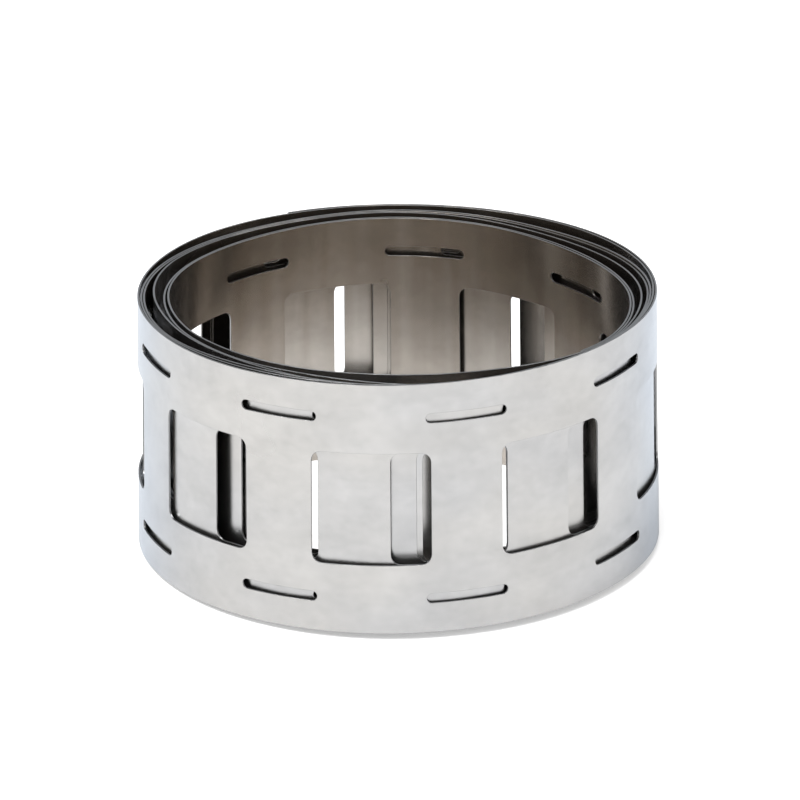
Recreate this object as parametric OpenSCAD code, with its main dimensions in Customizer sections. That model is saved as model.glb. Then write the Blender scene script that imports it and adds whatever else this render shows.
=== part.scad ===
// Coil of punched nickel strip for joining round cells two abreast.
// One flat ladder, two rails joined by a rung at every pitch, is wound
// into a loose coil that stands on its edge. The coil axis is Z, the
// floor is Z = 0 and the bottom edge of every turn lies on it.

/* [Strip] */
// Thickness of the strip
strip_t = 0.2; // [0.1:0.05:0.3]
// Distance from one cell to the next, along and across the strip
pitch = 18.5; // [17:0.25:24]
// Width of the rails and of the rungs
member_w = 7; // [5:0.5:8]
// Number of rungs, one in the middle of each pitch
rungs = 51; // [24:1:56]

/* [Punching] */
// Corner radius of the square windows
window_r = 1; // [0.5:0.25:2]
// Length of the weld slit in the rail at each end of a rung
slit_l = 8; // [5:0.5:10]
// Width of the weld slit
slit_w = 1; // [0.5:0.1:1.5]

/* [Coil] */
// Outer size of the coil the long way across its oval
coil_w = 50.95; // [46:0.05:64]
// Outer size of the coil the short way across its oval
coil_d = 49.65; // [46:0.05:64]
// Direction of the long way, in degrees from the right
oval_dir = -14; // [-45:0.5:45]
// Height of the three blunt corners that lie on the oval
corner_h = 0.22; // [0:0.02:0.4]
// Direction of the first blunt corner
corner_dir = 19; // [0:1:60]
// Smallest gap between one turn and the next
turn_gap = 0.06; // [0.05:0.01:0.3]
// Direction in which the outer end of the strip lies, in degrees from the right
outer_end_dir = 117; // [0:0.5:180]

/* [Sprung turns] */
// How far the turns have sprung apart, as a share of the gaps listed below
springing = 1; // [0:0.05:1.2]

/* [Hidden] */

full_turn = 360;
// Directions round the coil, in degrees from the right
right_dir = 0;
back_dir = 90;
left_dir = 180;
front_dir = 270;
strip_w = pitch + member_w;
window = pitch - member_w;
strip_l = rungs * pitch;

// Flat facets along one pitch, and along a quarter of a punched corner
pitch_facets = 10;
corner_facets = 4;
// Step of the winding angle at which the length is summed, in degrees
wind_step = 2;
// Places where a turn has sprung away from the next one inside it: turn, counted
// from 1 at the outer end, direction, half spread in degrees and gap
sprung = [
    [1, 244, 42, 0.45],
    [1, 121, 62, 1.55],
    [2, 50, 52, 1.6],
    [2, 238, 37, 0.5],
    [3, 204, 54, 1.3],
    [4, 24, 71, 0.5],
    [4, 256, 35, 0.95],
    [4, 155, 52, 1.35],
    [5, 96, 79, 1.05],
    [5, 19, 48, 1.05],
    [5, 285, 47, 2.15],
    [5, 241, 78, 0.9]
];

// Angle wound from the outer end to a direction on a turn, counted from 1
function winding(turn, dir) =
    full_turn * (turn - 1) + (full_turn + outer_end_dir - dir) % full_turn;

// Smooth rise from 0 to 1 and back within a half spread
function swell(offset, spread) =
    abs(offset) < spread ? pow(cos(90 * offset / spread), 2) : 0;

function sum(v, i = 0) = i < len(v) ? v[i] + sum(v, i + 1) : 0;

// Distance from a turn to the next one inside it
function turn_step(a) =
    strip_t + turn_gap
    + springing * sum([for (p = sprung) p[3] * swell(a - winding(p[0], p[1]), p[2])]);

// Blunt-cornered oval that the outer turn follows while it starts to wind inwards
function outer_turn(a) =
    (coil_w + coil_d) / 4
    + (coil_w - coil_d) / 4 * cos(2 * (outer_end_dir - a - oval_dir))
    + corner_h * cos(3 * (outer_end_dir - a - corner_dir))
    - turn_step(0) * a / full_turn;

// Radius of the strip's outer face at a winding angle
function radius(a) =
    a < full_turn ? outer_turn(a) : radius(a - full_turn) - turn_step(a - full_turn);

// Winding angle against length along the middle of the strip
wound = [
    for (
        a = 0, s = 0;
        s < strip_l + pitch;
        s = s + (radius(a + wind_step / 2) - strip_t / 2) * wind_step * PI / 180,
        a = a + wind_step
    ) [s, a]
];
function angle_at(s) = lookup(s, wound);
function radius_at(s) = radius(angle_at(s));
function dir_at(s) = outer_end_dir - angle_at(s);
function face_point(s, depth) =
    (radius_at(s) - depth) * [cos(dir_at(s)), sin(dir_at(s))];

// Middle of the outer turn's box, which the coil is centred on
function reach(dir) = radius(winding(1, dir));
middle = [reach(right_dir) - reach(left_dir), reach(back_dir) - reach(front_dir)] / 2;

// Straight width that punches a given length out of the bent strip
function chord(l, r) = 2 * r * sin(l / r * 90 / PI);

function round_corner(x, y, r, from) = [
    for (i = [0:corner_facets])
        let (a = from + 90 * i / corner_facets) [x + r * cos(a), y + r * sin(a)]
];

module window_shape(w, h, r) {
    x = w / 2 - r;
    y = h / 2 - r;
    polygon(concat(
        round_corner(x, y, r, 0),
        round_corner(-x, y, r, 90),
        round_corner(-x, -y, r, 180),
        round_corner(x, -y, r, 270)
    ));
}

module slit_shape(l, w) {
    r = w / 2;
    x = l / 2 - r;
    steps = 2 * corner_facets;
    polygon(concat(
        [for (i = [0:steps]) [x + r * sin(180 * i / steps), -r * cos(180 * i / steps)]],
        [for (i = [0:steps]) [-x - r * sin(180 * i / steps), r * cos(180 * i / steps)]]
    ));
}

// Punches a flat shape through the strip at a length along it and a height
module punch(s, z) {
    rotate([0, 0, dir_at(s)])
        translate([radius_at(s) - window / 2, 0, z])
            rotate([90, 0, 90])
                linear_extrude(window)
                    children();
}

module window_punch(s) {
    punch(s, strip_w / 2)
        window_shape(chord(window, radius_at(s)), window, window_r);
}

module slit_punch(s) {
    for (side = [-1, 1])
        punch(s, strip_w / 2 + side * pitch / 2)
            slit_shape(chord(slit_l, radius_at(s)), slit_w);
}

// One pitch of the ladder: a rung with half a window on either side
module ladder_cell(i) {
    lengths = [for (j = [0:pitch_facets]) (i + j / pitch_facets) * pitch];
    outside = [for (s = lengths) face_point(s, 0)];
    inside = [for (j = [pitch_facets:-1:0]) face_point(lengths[j], strip_t)];
    difference() {
        linear_extrude(strip_w) polygon(concat(outside, inside));
        window_punch(i * pitch);
        window_punch((i + 1) * pitch);
        slit_punch((i + 0.5) * pitch);
    }
}

module nickel_strip() {
    color([0.85, 0.85, 0.84])
        translate(-middle)
            for (i = [0:rungs - 1])
                ladder_cell(i);
}

nickel_strip();
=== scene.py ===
import math

import bpy
import numpy as np
from mathutils import Matrix, Vector
from mathutils.geometry import delaunay_2d_cdt


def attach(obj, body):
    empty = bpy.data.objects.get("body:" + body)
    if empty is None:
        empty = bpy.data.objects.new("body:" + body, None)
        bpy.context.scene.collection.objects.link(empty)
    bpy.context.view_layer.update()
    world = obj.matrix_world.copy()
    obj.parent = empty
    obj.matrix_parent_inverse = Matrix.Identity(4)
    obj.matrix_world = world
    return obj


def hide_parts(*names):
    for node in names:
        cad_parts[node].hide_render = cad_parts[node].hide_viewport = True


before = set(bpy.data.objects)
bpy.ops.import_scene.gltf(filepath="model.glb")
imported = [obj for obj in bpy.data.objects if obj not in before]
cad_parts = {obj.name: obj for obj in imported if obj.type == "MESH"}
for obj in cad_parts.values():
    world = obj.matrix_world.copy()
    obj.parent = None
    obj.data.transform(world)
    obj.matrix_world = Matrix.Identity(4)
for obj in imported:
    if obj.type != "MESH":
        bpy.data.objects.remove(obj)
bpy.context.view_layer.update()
mm = 0.001
print("frame loaded:", sorted(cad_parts))

# The strip is a ladder, punched flat and wound clockwise from its outer end, as seen from above.
# Directions are in degrees from the right. Turns are counted from 1 at the outer end.
strip = {
    "thickness": 0.2 * mm,
    "pitch": 18.5 * mm,  # from window to window, and from rail to rail
    "member": 7.0 * mm,  # width of the rails and of the rungs
    "rungs": 51,
    "windowRadius": 1.0 * mm,
    "slitLength": 8.0 * mm,
    "slitWidth": 1.0 * mm,
    "edgeRound": 0.03 * mm,  # sheared edges, rubbed a little
    "long": 50.95 * mm,  # the outer turn is an oval
    "short": 49.65 * mm,
    "longWay": -14,
    "corner": 0.22 * mm,  # with three blunt corners
    "cornerWay": 19,
    "turnGap": 0.06 * mm,
    "outerEnd": 117,
    # Where a turn stands apart from the next one inside: turn, direction, half spread, gap.
    "sprung": [
        (1, 244, 42, 0.45 * mm),
        (1, 121, 62, 1.55 * mm),
        (2, 50, 52, 1.6 * mm),
        (2, 238, 37, 0.5 * mm),
        (3, 204, 54, 1.3 * mm),
        (4, 24, 71, 0.5 * mm),
        (4, 256, 35, 0.95 * mm),
        (4, 155, 52, 1.35 * mm),
        (5, 96, 79, 1.05 * mm),
        (5, 19, 48, 1.05 * mm),
        (5, 285, 47, 2.15 * mm),
        (5, 241, 78, 0.9 * mm),
    ],
    # Where turns lean in below the rim: first turn, turn it stops before, direction, half spread, lean.
    "leaning": [
        (2, 8, 195, 45, 0.22 * mm),
        (3, 4, 228, 26, 0.6 * mm),
        (3, 6, 268, 28, 0.35 * mm),
        (3, 6, 283, 45, 0.5 * mm),
        (2, 8, 300, 45, 0.2 * mm),
        (2, 8, 335, 28, 0.3 * mm),
        (6, 7, 95, 70, -0.75 * mm),
        (6, 7, 40, 35, -0.5 * mm),
        (6, 7, 135, 30, -0.2 * mm),
        (2, 5, 142, 35, -0.9 * mm),
        (5, 6, 135, 30, -0.7 * mm),
        (2, 3, 243, 14, -0.22 * mm),
        (3, 6, 310, 22, 0.4 * mm),
    ],
    "leanPower": 12,  # the lean ends sharply at the rim
    "flare": 0.32 * mm,  # the lower edge stands out a little
    # Where a turn has crept round: turn, direction, half spread, degrees clockwise.
    "slid": [
        (1, 117, 110, 1.95),
        (6, 56, 60, -1.9),
        (6, 142, 40, 2.3),
    ],
    "flatRungs": 0.02 * mm,  # the rungs bend less than the rails beside the windows
    "ride": 0.81 * mm,  # the outer turns have ridden up on one side
    "rideWay": -46,
    "rideSpread": 2068,  # degrees wound until nothing rides up
    "step": 0.9 * mm,  # mesh spacing along the strip
    "row": 1.75 * mm,  # and across it
    "railRows": 3,
    "rungRows": 3,  # on either side of the middle
    "edgeClear": 0.45,  # inner points keep this share of a step from the edges
    "cornerSteps": 5,
    "turns": 7,  # whole turns worked out, a little more than the strip fills
    "angleStep": 0.25,
    "slopeStep": 0.05 * mm,  # length over which the strip's direction is taken
    "weld": 1e-4 * mm,  # points nearer than this are one
    "meshExact": 1e-6,  # and in the flat cell, in millimetres
}

pitch = strip["pitch"]
stripWidth = pitch + strip["member"]
window = pitch - strip["member"]
tightStep = strip["thickness"] + strip["turnGap"]


def windingAngle(turn, direction):
    return 360 * (turn - 1) + (strip["outerEnd"] - direction) % 360


def swell(offset, spread):
    return np.cos(np.radians(90 * np.clip(offset / spread, -1, 1))) ** 2


def turnStep(angle):
    total = np.full_like(angle, tightStep)
    for turn, direction, spread, gap in strip["sprung"]:
        total += gap * swell(angle - windingAngle(turn, direction), spread)
    return total


def outerTurn(angle):
    direction = strip["outerEnd"] - angle
    mean = (strip["long"] + strip["short"]) / 4
    oval = (strip["long"] - strip["short"]) / 4 * np.cos(np.radians(2 * (direction - strip["longWay"])))
    corners = strip["corner"] * np.cos(np.radians(3 * (direction - strip["cornerWay"])))
    return mean + oval + corners - tightStep * angle / 360


# Radius of the outer face, each turn stepped in from the one outside it.
def coilRadius(angle):
    turns = np.floor(angle / 360)
    radius = outerTurn(angle - 360 * turns)
    for back in range(1, strip["turns"]):
        radius -= np.where(turns >= back, turnStep(angle - 360 * back), 0)
    return radius


def reach(direction):
    return coilRadius(np.array([float(windingAngle(1, direction))]))[0]


coilMiddle = np.array([reach(0) - reach(180), reach(90) - reach(270)]) / 2

# Length wound up to each angle, on the middle of the strip.
angleTable = np.arange(0, 360 * strip["turns"], strip["angleStep"])
midRadius = coilRadius(angleTable + strip["angleStep"] / 2) - strip["thickness"] / 2
lengthTable = np.concatenate([[0], np.cumsum(midRadius * math.radians(strip["angleStep"]))[:-1]])


def lean(angle):
    total = np.zeros_like(angle)
    for first, last, direction, spread, inward in strip["leaning"]:
        for turn in range(first, last):
            total += inward * swell(angle - windingAngle(turn, direction), spread)
    return total


def slide(angle):
    total = np.zeros_like(angle)
    for turn, direction, spread, degrees in strip["slid"]:
        total += degrees * swell(angle - windingAngle(turn, direction), spread)
    return total


# Place on the floor plan of a point of the strip, at a depth below the outer face.
def wind(length, depth, height=0.0):
    angle = np.interp(length, lengthTable, angleTable)
    radius = coilRadius(angle) - depth + strip["flatRungs"] * np.cos(2 * math.pi * length / pitch)
    up = height / stripWidth + 0.5
    radius += strip["flare"] * (1 - up) - lean(angle) * (1 - up ** strip["leanPower"])
    direction = np.radians(strip["outerEnd"] - angle - slide(angle))
    return np.stack([radius * np.cos(direction), radius * np.sin(direction)], -1) - coilMiddle


def rise(length):
    angle = np.interp(length, lengthTable, angleTable)
    towards = np.cos(np.radians(strip["outerEnd"] - angle - strip["rideWay"]))
    return strip["ride"] * swell(angle, strip["rideSpread"]) * (1 + towards) / 2


def outward(length):
    tangent = wind(length + strip["slopeStep"], 0) - wind(length - strip["slopeStep"], 0)
    tangent /= np.linalg.norm(tangent, axis=1, keepdims=True)
    return np.stack([-tangent[:, 1], tangent[:, 0]], -1), tangent


# Each punched edge is a list of points with the direction that leaves the metal there.
def straightEdge(start, end, normal, step):
    count = max(1, round(math.dist(start, end) / step))
    way = np.array(end) - start
    return [(tuple(np.array(start) + way * k / count), normal) for k in range(count)]


def roundEdge(centre, radius, start, end, steps):
    edge = []
    for k in range(steps):
        angle = math.radians(start + (end - start) * k / steps)
        spoke = (math.cos(angle), math.sin(angle))
        point = (centre[0] + radius * spoke[0], centre[1] + radius * spoke[1])
        edge.append((point, (-spoke[0], -spoke[1])))
    return edge


def halfWindowEdge():
    side, high, radius = strip["member"] / 2, window / 2, strip["windowRadius"]
    steps = strip["cornerSteps"]
    edge = straightEdge((pitch / 2, -high), (side + radius, -high), (0, 1), strip["step"])
    edge += roundEdge((side + radius, radius - high), radius, 270, 180, steps)
    edge += straightEdge((side, radius - high), (side, high - radius), (1, 0), strip["row"])
    edge += roundEdge((side + radius, high - radius), radius, 180, 90, steps)
    edge += straightEdge((side + radius, high), (pitch / 2, high), (0, -1), strip["step"])
    return edge + [((pitch / 2, high), (0, -1))]


def slitEdge(height):
    radius = strip["slitWidth"] / 2
    half = strip["slitLength"] / 2 - radius
    steps = 2 * strip["cornerSteps"]
    edge = straightEdge((-half, height - radius), (half, height - radius), (0, 1), strip["step"])
    edge += roundEdge((half, height), radius, -90, 90, steps)
    edge += straightEdge((half, height + radius), (-half, height + radius), (0, -1), strip["step"])
    return edge + roundEdge((-half, height), radius, 90, 270, steps)


def mirrored(edge):
    return [((-p[0], p[1]), (-n[0], n[1])) for p, n in reversed(edge)]


# The four open edges of a cell, in order round it, then the closed edges of its two slits.
def cellEdges():
    half = stripWidth / 2
    bottom = straightEdge((-pitch / 2, -half), (pitch / 2, -half), (0, -1), strip["step"])
    bottom.append(((pitch / 2, -half), (0, -1)))
    top = [((-p[0], -p[1]), (0, 1)) for p, n in bottom]
    right = halfWindowEdge()
    edges = [bottom, right, top, mirrored(right), slitEdge(pitch / 2), slitEdge(-pitch / 2)]
    lines = [np.array([p for p, n in edge]) for edge in edges]
    normals = [np.array([n for p, n in edge], float) for edge in edges]
    return lines, normals


openEdges = 4


def insideLoop(points, loop):
    inside = np.zeros(len(points), bool)
    for a, b in zip(loop, np.roll(loop, -1, 0)):
        crosses = (a[1] > points[:, 1]) != (b[1] > points[:, 1])
        with np.errstate(divide="ignore", invalid="ignore"):
            across = a[0] + (points[:, 1] - a[1]) * (b[0] - a[0]) / (b[1] - a[1])
        inside ^= crosses & (points[:, 0] < across)
    return inside


def onMetal(points, borders):
    outer, *slits = borders
    metal = insideLoop(points, outer)
    for slit in slits:
        metal &= ~insideLoop(points, slit)
    return metal


# One face of a cell, a rung with half a window on either side, laid out flat round (0, 0).
def flatCell():
    half, edgeRound = stripWidth / 2, strip["edgeRound"]
    lines, normals = cellEdges()
    faceLines = [line - edgeRound * normal for line, normal in zip(lines, normals)]

    # Outline of the face: the open edges, joined across the rails, then the slits.
    railRows = np.linspace(window / 2 + edgeRound, half - edgeRound, strip["railRows"] + 2)[1:-1]
    rails = [
        [(pitch / 2, -z) for z in railRows[::-1]],
        [(pitch / 2, z) for z in railRows],
        [(-pitch / 2, z) for z in railRows[::-1]],
        [(-pitch / 2, -z) for z in railRows],
    ]
    points, edgeIndex = [], []
    for line, rail in zip(faceLines, rails):
        edgeIndex.append(range(len(points), len(points) + len(line)))
        points += [tuple(p) for p in line] + rail
    loops = [list(range(len(points)))]
    for line in faceLines[openEdges:]:
        edgeIndex.append(range(len(points), len(points) + len(line)))
        loops.append(list(edgeIndex[-1]))
        points += [tuple(p) for p in line]
    outline = np.array(points)
    borders = [outline[loop] for loop in loops]

    # Rows of points inside, clear of the edges.
    columns = np.arange(-pitch / 2 + strip["step"] / 2, pitch / 2, strip["step"])
    rungRows = np.arange(-strip["rungRows"], strip["rungRows"] + 1) * strip["row"]
    rows = np.concatenate([-railRows, rungRows, railRows])
    grid = np.array([(u, z) for z in rows for u in columns])
    nearest = np.min(np.linalg.norm(grid[:, None] - outline[None], axis=2), axis=1)
    clear = nearest > strip["edgeClear"] * strip["step"]
    points += [tuple(p) for p in grid[onMetal(grid, borders) & clear]]

    scaled = [Vector((u / mm, z / mm)) for u, z in points]
    links = [(a, b) for loop in loops for a, b in zip(loop, loop[1:] + loop[:1])]
    _, _, cornerLists, origins, _, _ = delaunay_2d_cdt(scaled, links, [], 0, strip["meshExact"], True)
    source = [origin[0] for origin in origins]
    triangles = np.array([[source[i] for i in corners] for corners in cornerLists])
    flat = np.array(points)
    return flat, triangles[onMetal(flat[triangles].mean(1), borders)], lines, normals, edgeIndex


# Kinds of point: on the outer face, on the wall of an edge near it, near the inner face, on that face.
outerFace, outerWall, innerWall, innerFace = range(4)


# Both faces of a cell and the walls between them, still flat.
def solidCell():
    flat, triangles, lines, normals, edgeIndex = flatCell()
    count = len(flat)
    along = [flat[:, 0], flat[:, 0]]
    across = [flat[:, 1], flat[:, 1]]
    kinds = [np.full(count, outerFace), np.full(count, innerFace)]
    leaving = [np.zeros((count, 2))] * 2
    faces = [tuple(t) for t in triangles] + [tuple(t[::-1] + count) for t in triangles]
    total = 2 * count
    for number, (line, normal, onFace) in enumerate(zip(lines, normals, edgeIndex)):
        size = len(line)
        walls = [range(total, total + size), range(total + size, total + 2 * size)]
        rings = [list(onFace), *walls, [i + count for i in onFace]]
        for kind in (outerWall, innerWall):
            along.append(line[:, 0])
            across.append(line[:, 1])
            kinds.append(np.full(size, kind))
            leaving.append(normal)
        following = list(range(1, size)) + ([0] if number >= openEdges else [])
        for a, b in zip(range(size), following):
            for upper, lower in zip(rings, rings[1:]):
                faces.append((upper[a], upper[b], lower[b], lower[a]))
        total += 2 * size
    return [np.concatenate(part) for part in (along, across, kinds, leaving)], faces


# The same cell again and again, sharing the points where the rails run on.
def flatLadder():
    (along, across, kinds, leaving), faces = solidCell()
    cells = np.arange(strip["rungs"])
    length = (along[None] + ((cells + 0.5) * pitch)[:, None]).ravel()
    height = np.tile(across, len(cells))
    kinds = np.tile(kinds, len(cells))
    leaving = np.tile(leaving, (len(cells), 1))
    keys = np.stack([np.round(length / strip["weld"]), np.round(height / strip["weld"]), kinds], -1)
    _, first, shared = np.unique(keys.astype(np.int64), axis=0, return_index=True, return_inverse=True)
    shared = shared.reshape(len(cells), -1).tolist()
    faces = [tuple(cell[i] for i in face) for cell in shared for face in faces]
    return length[first], height[first], kinds[first], leaving[first], faces


def buildStrip():
    length, height, kinds, leaving, faces = flatLadder()
    thickness, edgeRound = strip["thickness"], strip["edgeRound"]
    depth = np.choose(kinds, [0, edgeRound, thickness - edgeRound, thickness])
    place = np.column_stack([wind(length, depth, height), height + stripWidth / 2 + rise(length)])
    faceNormal, tangent = outward(length)
    sign = np.choose(kinds, [1.0, 0.0, 0.0, -1.0])[:, None]
    normal = np.column_stack([faceNormal * sign + tangent * leaving[:, :1], leaving[:, 1]])
    lay = np.column_stack([length, height, np.choose(kinds, [1.0, 0.5, 0.5, 0.0])])

    # Cut ends of the rails.
    for end, turned in ((0.0, -1), (strip["rungs"] * pitch, 1)):
        atEnd = np.abs(length - end) < strip["weld"]
        for half in (-1, 1):
            pick = np.flatnonzero(atEnd & (height * half > 0))
            up = [i for i in pick if kinds[i] in (outerFace, outerWall)]
            down = [i for i in pick if kinds[i] in (innerFace, innerWall)]
            order = sorted(up, key=lambda i: height[i]) + sorted(down, key=lambda i: -height[i])
            faces.append(tuple(range(len(place), len(place) + len(order))))
            place = np.vstack([place, place[order]])
            lay = np.vstack([lay, lay[order] * (1, 1, 0) + (0, 0, 0.5)])
            endNormal = np.column_stack([tangent[order] * turned, np.zeros(len(order))])
            normal = np.vstack([normal, endNormal])

    # Every face turned the way its normals point.
    turnedFaces = []
    for face in faces:
        a, b, c = place[face[0]], place[face[1]], place[face[2]]
        facing = np.dot(np.cross(b - a, c - a), normal[list(face)].sum(0))
        turnedFaces.append(face if facing > 0 else face[::-1])

    mesh = bpy.data.meshes.new("nickelLadder")
    mesh.from_pydata(place.tolist(), [], turnedFaces)
    mesh.polygons.foreach_set("use_smooth", [True] * len(mesh.polygons))
    attribute = mesh.attributes.new("lay", "FLOAT_VECTOR", "POINT")
    attribute.data.foreach_set("vector", lay.astype(np.float32).ravel())
    mesh.update()
    mesh.normals_split_custom_set_from_vertices(normal.tolist())
    ladder = bpy.data.objects.new("nickelLadder", mesh)
    bpy.context.scene.collection.objects.link(ladder)
    triangleCount = sum(len(p.vertices) - 2 for p in mesh.polygons)
    print("strip wound:", len(mesh.vertices), "points,", triangleCount, "triangles")
    return ladder


# Wraps a shader socket, so that sums on values are written as sums.
class Wire:
    def __init__(self, tree, socket=None):
        self.tree = tree
        self.socket = socket

    def node(self, kind, settings=None, inputs=None, output=0):
        made = self.tree.nodes.new(kind)
        for name, value in (settings or {}).items():
            setattr(made, name, value)
        for name, value in (inputs or {}).items():
            if isinstance(value, Wire):
                self.tree.links.new(value.socket, made.inputs[name])
            else:
                made.inputs[name].default_value = value
        return Wire(self.tree, made.outputs[output]) if made.outputs else made

    def maths(self, operation, *terms):
        return self.node("ShaderNodeMath", {"operation": operation}, dict(enumerate(terms)))

    def __add__(self, other):
        return self.maths("ADD", self, other)

    def __radd__(self, other):
        return self.maths("ADD", other, self)

    def __sub__(self, other):
        return self.maths("SUBTRACT", self, other)

    def __rsub__(self, other):
        return self.maths("SUBTRACT", other, self)

    def __mul__(self, other):
        return self.maths("MULTIPLY", self, other)

    def __rmul__(self, other):
        return self.maths("MULTIPLY", other, self)

    def clamped(self, low, high):
        return self.maths("MINIMUM", self.maths("MAXIMUM", self, low), high)

    def ramped(self, low, high):
        settings = {"interpolation_type": "SMOOTHSTEP"}
        return self.node("ShaderNodeMapRange", settings, {0: self, 1: low, 2: high, 3: 0.0, 4: 1.0})

    def part(self, axis):
        return self.node("ShaderNodeSeparateXYZ", None, {0: self}, axis)

    def stretched(self, scale):
        return self.node("ShaderNodeVectorMath", {"operation": "MULTIPLY"}, {0: self, 1: scale})

    def noise(self, scale, detail, rough):
        inputs = {"Vector": self.stretched(scale), "Scale": 1.0, "Detail": detail, "Roughness": rough}
        return self.node("ShaderNodeTexNoise", {"noise_dimensions": "3D"}, inputs, "Fac")

    def mixed(self, low, high):
        settings = {"data_type": "RGBA", "blend_type": "MIX"}
        return self.node("ShaderNodeMix", settings, {0: self, 6: low, 7: high}, 2)


def newMaterial(name):
    material = bpy.data.materials.new(name)
    material.use_nodes = True
    material.node_tree.nodes.clear()
    return material, Wire(material.node_tree)


# The finish. A noise is its spots per metre along, across and through the strip, detail and roughness.
nickel = {
    "outer": (0.505, 0.505, 0.51, 1),
    "outerWarm": (0.52, 0.51, 0.495, 1),
    "warmRamp": (0.3, 0.7),  # haze at which the warmer tone starts and is full
    "paintedLightBehind": (0.70, 0.67, 0.63, 1),  # painted light: inner side of the turns that lie behind others, painted lighter than their shade
    "paintedLightBehindEnds": 770 * mm,
    # Painted shade and reflection: the inner side is painted darker and browner than the outer side, and
    # darker still towards the rim.
    "innerLow": (0.56, 0.52, 0.475, 1),
    "innerHigh": (0.31, 0.265, 0.22, 1),
    "sideRamp": (0.2, 0.8),  # from the inner side's tone, with its painted shade, to the outer side's
    "cutEdge": (0.42, 0.42, 0.42, 1),
    "edgeRamp": (0.01, 0.12),  # square of the way from the middle of a cut edge
    "glancing": (0.86, 0.92, 1.0, 1),  # painted cool reflection: cooler where the face turns away
    "roughness": 0.25,
    "hazeRoughness": 0.12,
    "edgeRoughness": 0.1,
    "anisotropy": 0.6,
    "rollingWay": 0.25,
    "mottle": ((170, 230, 3), 4.0, 0.6),
    "mottleShade": 0.42,
    "haze": ((45, 60, 2), 2.0, 0.5),
    "hazeShade": 0.2,
    "grain": ((800, 1100, 3), 2.0, 0.5),
    "grainShade": 0.16,
    "streak": ((330, 9, 3), 2.0, 0.5),  # upright streaks in the painted shade of the inner side, standing in for streaky reflections
    "streakPaintedShade": 1.2,
    "wave": ((160, 14, 6), 2.0, 0.5),  # the sheet isn't quite flat along its length
    "waveHeight": 0.06 * mm,
    "waveStrength": 0.6,
}


def nickelFinish():
    material, tree = newMaterial("rolledNickel")
    lay = tree.node("ShaderNodeAttribute", {"attribute_name": "lay"}, None, "Vector")
    length, height, side = lay.part(0), lay.part(1), lay.part(2)  # side is 1 outside, 0 inside
    noises = [lay.noise(*nickel[name]) for name in ("mottle", "haze", "grain", "streak", "wave")]
    mottle, haze, grain, streak, wave = noises

    # Painted light: up to a length along the strip, the inner side of the turns that lie behind others is
    # painted lighter, to offset the shade between the turns.
    shown = length.ramped(nickel["paintedLightBehindEnds"], nickel["paintedLightBehindEnds"] + pitch)
    low = shown.mixed(nickel["paintedLightBehind"], nickel["innerLow"])
    # Painted shade and reflection: the inner side darkens and browns towards the rim, with upright streaks.
    paintedShadeAmount = height.ramped(-stripWidth / 2, stripWidth / 2) + (streak - 0.5) * nickel["streakPaintedShade"]
    inner = paintedShadeAmount.mixed(low, nickel["innerHigh"])
    outer = haze.ramped(*nickel["warmRamp"]).mixed(nickel["outer"], nickel["outerWarm"])
    colour = side.ramped(*nickel["sideRamp"]).mixed(inner, outer)
    spots = (mottle - 0.5) * nickel["mottleShade"] + (haze - 0.5) * nickel["hazeShade"]
    shade = spots + (grain - 0.5) * nickel["grainShade"] + 1.0
    toned = tree.node("ShaderNodeVectorMath", {"operation": "SCALE"}, {0: colour, "Scale": shade})
    edge = 1 - ((side - 0.5) * (side - 0.5)).ramped(*nickel["edgeRamp"])
    roughness = nickel["roughness"] + (haze - 0.5) * nickel["hazeRoughness"] + edge * nickel["edgeRoughness"]
    bump = tree.node("ShaderNodeBump", None, {
        "Strength": nickel["waveStrength"], "Distance": nickel["waveHeight"], "Height": wave,
    })
    shader = tree.node("ShaderNodeBsdfPrincipled", None, {
        "Base Color": edge.mixed(toned, nickel["cutEdge"]), "Metallic": 1.0, "Roughness": roughness,
        "Specular Tint": nickel["glancing"], "Anisotropic": nickel["anisotropy"],
        "Anisotropic Rotation": nickel["rollingWay"], "Normal": bump,
    })
    tree.node("ShaderNodeOutputMaterial", None, {"Surface": shader})
    return material


ladder = buildStrip()
ladder.data.materials.append(nickelFinish())
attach(ladder, "root")
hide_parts("nickel_strip")
print("nickel finished")

studio = {
    "floorSize": 3.0,
    "floor": (0.92, 0.92, 0.92, 1),
    "floorLift": 0.38,  # shown to the eye only
    "roomLight": 0.78,
    "overhead": 0.22,  # the dim ceiling that the metal mirrors
    "ceilingRamp": (0.05, 0.55),  # sine of the height at which the walls start and end to dim
    "topSize": 0.5,
    "topPower": 5.0,
    "topPlace": (-0.15, -0.25, 0.75),
}
white = (1, 1, 1, 1)


def rays(tree, kind):
    return tree.node("ShaderNodeLightPath", None, None, kind)


def glow(tree, level):
    return tree.node("ShaderNodeBackground", None, {"Color": white, "Strength": level})


def blended(factor, low, high):
    return factor.node("ShaderNodeMixShader", None, {0: factor, 1: low, 2: high})


def layFloor():
    half = studio["floorSize"] / 2
    corners = [(-half, -half, 0), (half, -half, 0), (half, half, 0), (-half, half, 0)]
    mesh = bpy.data.meshes.new("floor")
    mesh.from_pydata(corners, [], [(0, 1, 2, 3)])
    floor = bpy.data.objects.new("floor", mesh)
    bpy.context.scene.collection.objects.link(floor)
    material, tree = newMaterial("paperFloor")
    paper = tree.node("ShaderNodeBsdfDiffuse", None, {"Color": studio["floor"]})
    lift = tree.node("ShaderNodeEmission", None, {"Color": white, "Strength": studio["floorLift"]})
    lifted = tree.node("ShaderNodeAddShader", None, {0: paper, 1: lift})
    shown = blended(rays(tree, "Is Camera Ray"), paper, lifted)
    tree.node("ShaderNodeOutputMaterial", None, {"Surface": shown})
    mesh.materials.append(material)


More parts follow.
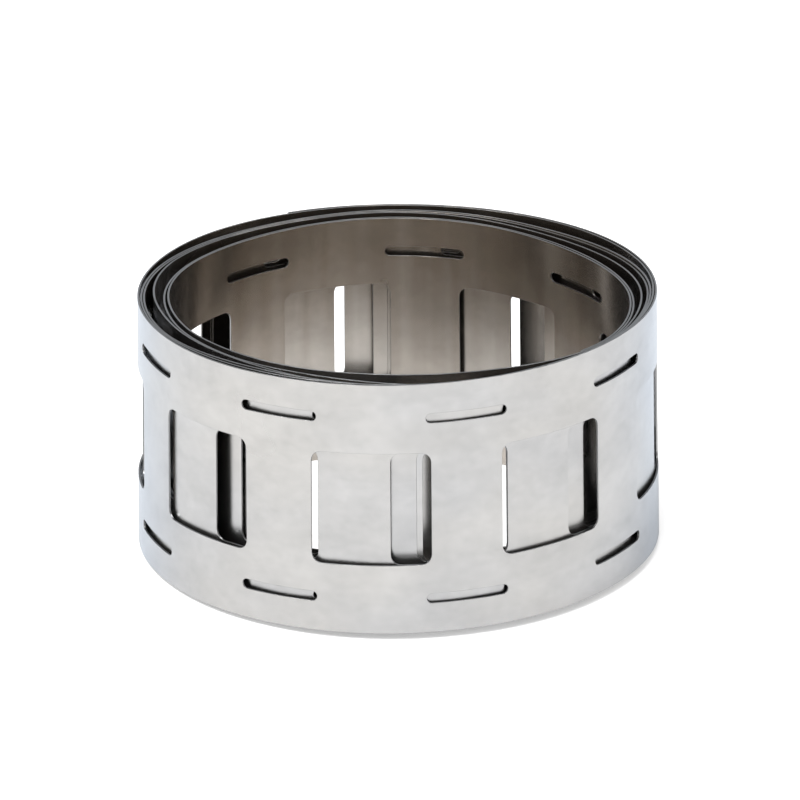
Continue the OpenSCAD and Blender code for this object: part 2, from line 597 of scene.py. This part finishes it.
# White to the eye, bright walls and a dim ceiling to the metal, plain light to all else.
def lightRoom():
    world = bpy.data.worlds.new("studio")
    world.use_nodes = True
    world.node_tree.nodes.clear()
    sky = Wire(world.node_tree)
    heading = sky.node("ShaderNodeTexCoord", None, None, "Generated")
    upward = heading.part(2).ramped(*studio["ceilingRamp"])
    inMetal = (rays(sky, "Is Glossy Ray") + rays(sky, "Is Transmission Ray")).clamped(0.0, 1.0)
    room = blended(upward, glow(sky, 1.0), glow(sky, studio["overhead"]))
    air = blended(inMetal, glow(sky, studio["roomLight"]), room)
    shown = blended(rays(sky, "Is Camera Ray"), air, glow(sky, 1.0))
    sky.node("ShaderNodeOutputWorld", None, {"Surface": shown})
    bpy.context.scene.world = world


def hangLamp():
    light = bpy.data.lights.new("topLamp", "AREA")
    light.shape = "DISK"
    light.size = studio["topSize"]
    light.energy = studio["topPower"]
    lamp = bpy.data.objects.new("topLamp", light)
    lamp.location = studio["topPlace"]
    lamp.rotation_euler = (-Vector(studio["topPlace"])).to_track_quat("-Z", "Y").to_euler()
    bpy.context.scene.collection.objects.link(lamp)


layFloor()
lightRoom()
hangLamp()
print("studio lit")

# The photograph's view, worked out from the coil's windows and rims, in its pixels.
view = {
    "distance": 823.1 * mm,
    "elevation": 22.397,
    "roll": -0.426,
    "pictureSize": 800,
    "focal": 8409.8,
    "centre": (398.05, 417.01),  # where the view's axis meets the picture, from the top left
    "sensor": 36,
    "clip": (0.01, 10),
}


def placeCamera():
    size = view["pictureSize"]
    data = bpy.data.cameras.new("camera")
    data.sensor_width = view["sensor"]
    data.lens = view["focal"] / size * view["sensor"]
    data.shift_x = 0.5 - view["centre"][0] / size
    data.shift_y = view["centre"][1] / size - 0.5
    data.clip_start, data.clip_end = view["clip"]
    camera = bpy.data.objects.new("camera", data)
    target = Vector((0, 0, stripWidth / 2))
    lift = math.radians(view["elevation"])
    away = Vector((0, -math.cos(lift), math.sin(lift)))
    aim = (-away).to_track_quat("-Z", "Y").to_matrix().to_4x4()
    roll = Matrix.Rotation(math.radians(view["roll"]), 4, "Z")
    camera.matrix_world = Matrix.Translation(target + away * view["distance"]) @ aim @ roll
    bpy.context.scene.collection.objects.link(camera)
    bpy.context.scene.camera = camera


placeCamera()
bpy.context.scene.view_settings.view_transform = "Standard"
print("camera placed")
